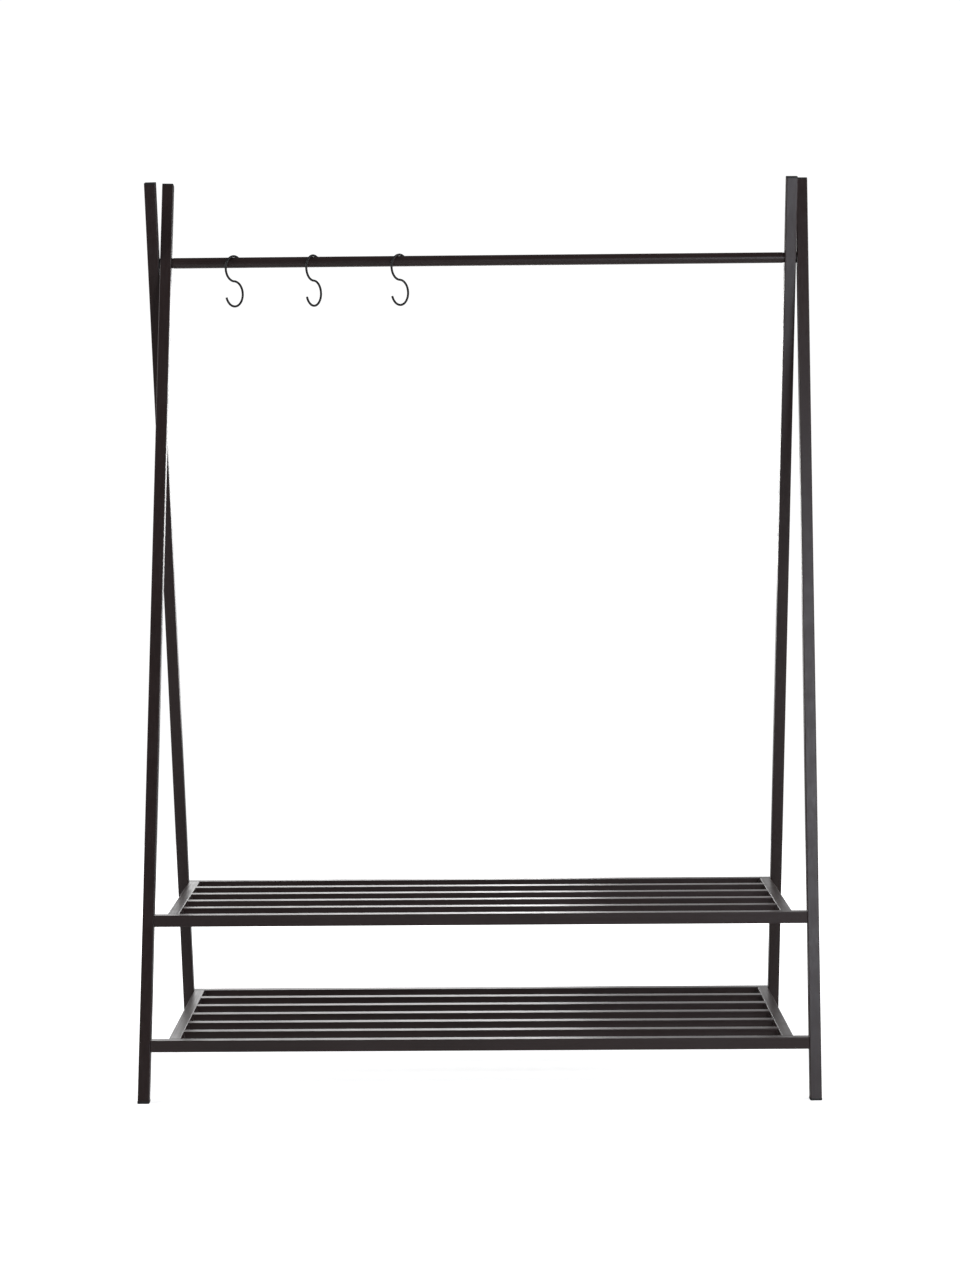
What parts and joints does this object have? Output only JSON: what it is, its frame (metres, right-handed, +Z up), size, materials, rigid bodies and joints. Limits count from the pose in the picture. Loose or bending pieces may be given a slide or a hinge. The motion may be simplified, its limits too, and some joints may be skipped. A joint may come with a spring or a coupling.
{
  "type": "garment rail",
  "caption": "Free-standing metal garment rail: crossed square-tube legs carry a round hanging rail with S-hooks that slide along it, over slatted shelves for shoes.",
  "frame": {"origin": "on the floor, at the centre of the bounding box in plan", "axes": "+X to the right along the rail as seen from the front, +Y to the back, +Z up"},
  "size_m": [1.1873, 0.5214, 1.6019],
  "materials": {
    "frame_coat": "satin black powder coat with a fine texture",
    "cap_plastic": "matt black moulded plastic",
    "fastener": "black oxide steel, satin",
    "washer_nylon": "matt black nylon",
    "insert_steel": "zinc plated steel",
    "hook_wire": "satin black coated steel wire"
  },
  "bodies": {
    "frame": {"front_left_leg": "frame_coat", "front_right_leg": "frame_coat", "back_left_leg": "frame_coat", "back_right_leg": "frame_coat", "front_left_top_cap": "cap_plastic", "front_right_top_cap": "cap_plastic", "back_left_top_cap": "cap_plastic", "back_right_top_cap": "cap_plastic", "front_left_foot": "cap_plastic", "front_right_foot": "cap_plastic", "back_left_foot": "cap_plastic", "back_right_foot": "cap_plastic", "hanging_rail": "frame_coat", "rail_end_left": "frame_coat", "rail_end_right": "frame_coat", "crossing_bolt_left": "fastener", "crossing_bolt_right": "fastener", "crossing_washer_left": "washer_nylon", "crossing_washer_right": "washer_nylon", "upper_front_bar": "frame_coat", "upper_back_bar": "frame_coat", "upper_left_bar": "frame_coat", "upper_right_bar": "frame_coat", "upper_slat_1": "frame_coat", "upper_slat_2": "frame_coat", "upper_slat_3": "frame_coat", "upper_slat_4": "frame_coat", "lower_front_bar": "frame_coat", "lower_back_bar": "frame_coat", "lower_left_bar": "frame_coat", "lower_right_bar": "frame_coat", "lower_slat_1": "frame_coat", "lower_slat_2": "frame_coat", "lower_slat_3": "frame_coat", "lower_slat_4": "frame_coat", "lower_slat_5": "frame_coat", "upper_bar_inserts": "insert_steel", "lower_bar_inserts": "insert_steel", "upper_shelf_bolts": "fastener", "lower_shelf_bolts": "fastener"},
    "hook_left": {"hook_left": "hook_wire"},
    "hook_middle": {"hook_middle": "hook_wire"},
    "hook_right": {"hook_right": "hook_wire"}
  },
  "joints": [
    {"name": "hook_left_slide", "type": "slide", "parent": "frame", "child": "hook_left", "axis": [1, 0, 0], "range_m": [-0.085, 0.053]},
    {"name": "hook_middle_slide", "type": "slide", "parent": "frame", "child": "hook_middle", "axis": [1, 0, 0], "range_m": [-0.053, 0.059]},
    {"name": "hook_right_slide", "type": "slide", "parent": "frame", "child": "hook_right", "axis": [1, 0, 0], "range_m": [-0.059, 0.66]}
  ]
}
